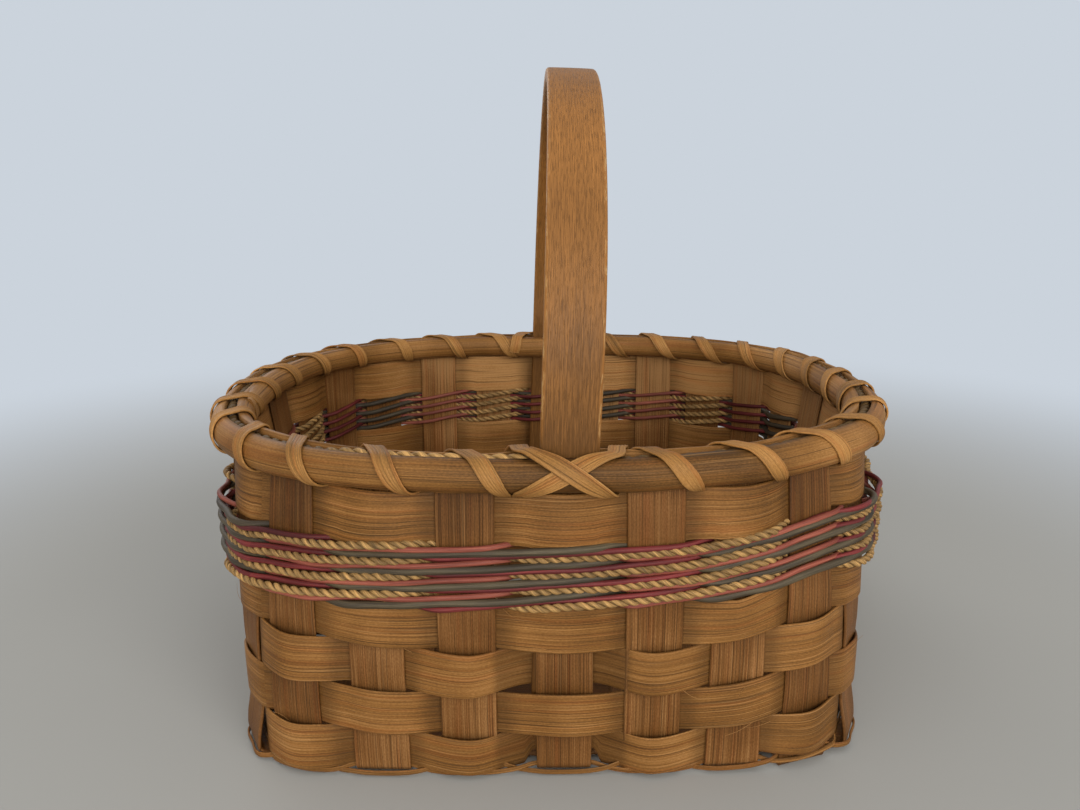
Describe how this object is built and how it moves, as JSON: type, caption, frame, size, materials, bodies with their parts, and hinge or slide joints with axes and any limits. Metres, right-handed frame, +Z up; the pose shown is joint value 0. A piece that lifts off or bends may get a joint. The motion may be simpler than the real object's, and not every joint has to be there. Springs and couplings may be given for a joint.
{
  "type": "gathering basket",
  "caption": "Oval-mouthed splint basket on a square plaited base, with a band of coloured waling, a lashed half-round rim and a fixed hoop handle.",
  "frame": {"origin": "on the floor under the middle of the square base", "axes": "+X along the oval rim's long direction, +Y from front to back across the basket under the handle, +Z up"},
  "size_m": [0.3218, 0.2839, 0.2823],
  "materials": {
    "stake_splint": "stained flat splint, fine lengthwise grain, slight sheen",
    "weaver_splint": "stained flat splint, fine lengthwise grain, slight sheen",
    "hardwood": "stained smooth hardwood, worn lighter on the edges",
    "rim_splint": "stained half-round hoop, fine lengthwise grain",
    "lashing_splint": "stained flat lashing, fine lengthwise grain",
    "seagrass": "twisted two-ply grass rope, dry fibres",
    "olive_reed": "dyed round reed, grey-green, dull",
    "burgundy_reed": "dyed round reed, dark red, dull",
    "pink_reed": "dyed round reed, dusty pink, dull"
  },
  "bodies": {
    "root": {"stake_depth_1": "stake_splint", "stake_depth_2": "stake_splint", "stake_depth_3": "stake_splint", "stake_depth_4": "stake_splint", "stake_depth_5": "stake_splint", "stake_depth_6": "stake_splint", "stake_depth_7": "stake_splint", "stake_length_1": "stake_splint", "stake_length_2": "stake_splint", "stake_length_3": "stake_splint", "stake_length_4": "stake_splint", "stake_length_5": "stake_splint", "stake_length_6": "stake_splint", "stake_length_7": "stake_splint", "weaver_row_1": "weaver_splint", "weaver_row_2": "weaver_splint", "weaver_row_3": "weaver_splint", "weaver_row_4": "weaver_splint", "weaver_row_5": "weaver_splint", "rim_row": "weaver_splint", "wale_1_olive": "olive_reed", "wale_1_burgundy": "burgundy_reed", "wale_1_seagrass": "seagrass", "wale_1_pink": "pink_reed", "wale_2_olive": "olive_reed", "wale_2_burgundy": "burgundy_reed", "wale_2_seagrass": "seagrass", "wale_2_pink": "pink_reed", "wale_3_olive": "olive_reed", "wale_3_burgundy": "burgundy_reed", "wale_3_seagrass": "seagrass", "wale_3_pink": "pink_reed", "wale_4_olive": "olive_reed", "wale_4_burgundy": "burgundy_reed", "wale_4_seagrass": "seagrass", "wale_4_pink": "pink_reed", "rim_hoop_outer": "rim_splint", "rim_hoop_inner": "rim_splint", "rim_filler_right": "seagrass", "rim_filler_left": "seagrass", "lashing_right": "lashing_splint", "lashing_left": "lashing_splint", "lashing_cross_front": "lashing_splint", "lashing_cross_back": "lashing_splint", "handle_hoop": "hardwood"}
  },
  "joints": []
}
